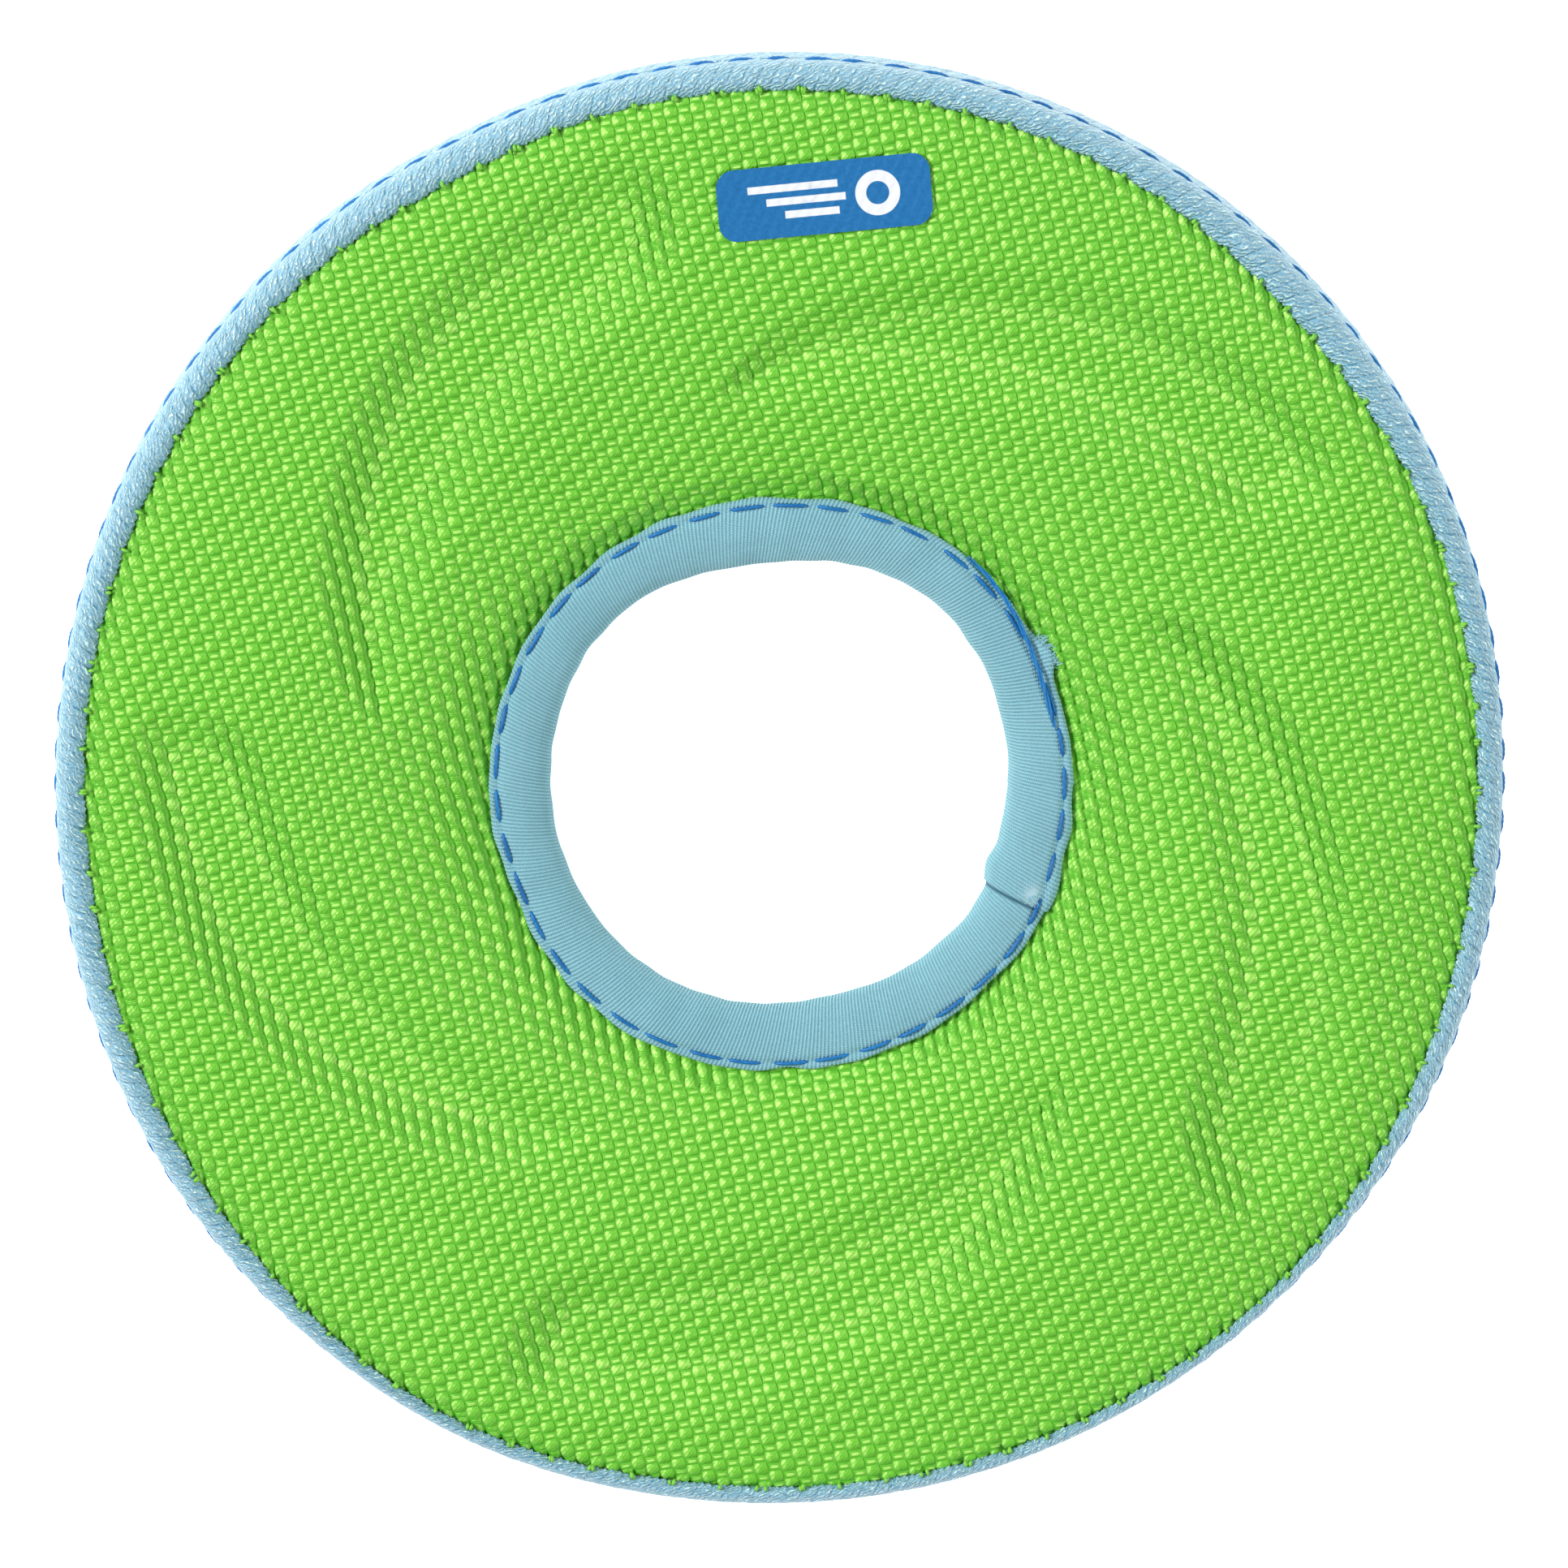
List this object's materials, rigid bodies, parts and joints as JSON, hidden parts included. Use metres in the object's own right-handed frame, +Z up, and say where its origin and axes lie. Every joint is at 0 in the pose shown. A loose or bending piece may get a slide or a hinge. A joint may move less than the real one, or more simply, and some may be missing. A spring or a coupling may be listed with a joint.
{
  "type": "flying ring",
  "caption": "Soft sewn flying ring: a flat padded disc of woven nylon with five swirl blades pressed into its upper face, a webbing band round its rim and a rolled tape round its centre hole.",
  "frame": {"origin": "on the ring's axis, in the plane of its flat underside", "axes": "+Z up along the ring's axis, out of the face with the pressed blades; +Y from the axis towards the badge"},
  "size_m": [0.1654, 0.1654, 0.0127],
  "materials": {
    "cover_fabric": "coarse plain-woven nylon with a slight gloss on each yarn",
    "rim_webbing": "ribbed glossy webbing",
    "hole_tape": "matte finely woven tape",
    "thread": "glossy bonded sewing thread",
    "foam": "closed-cell foam",
    "badge_ink": "satin transfer film"
  },
  "bodies": {
    "root": {"top_cover": "cover_fabric", "bottom_cover": "cover_fabric", "foam_core": "foam", "outer_binding": "rim_webbing", "inner_binding": "hole_tape", "outer_stitch_thread": "thread", "top_seam_thread": "thread", "bottom_seam_thread": "thread", "inner_needle_thread": "thread", "inner_bobbin_thread": "thread", "badge_film": "badge_ink"}
  },
  "joints": []
}
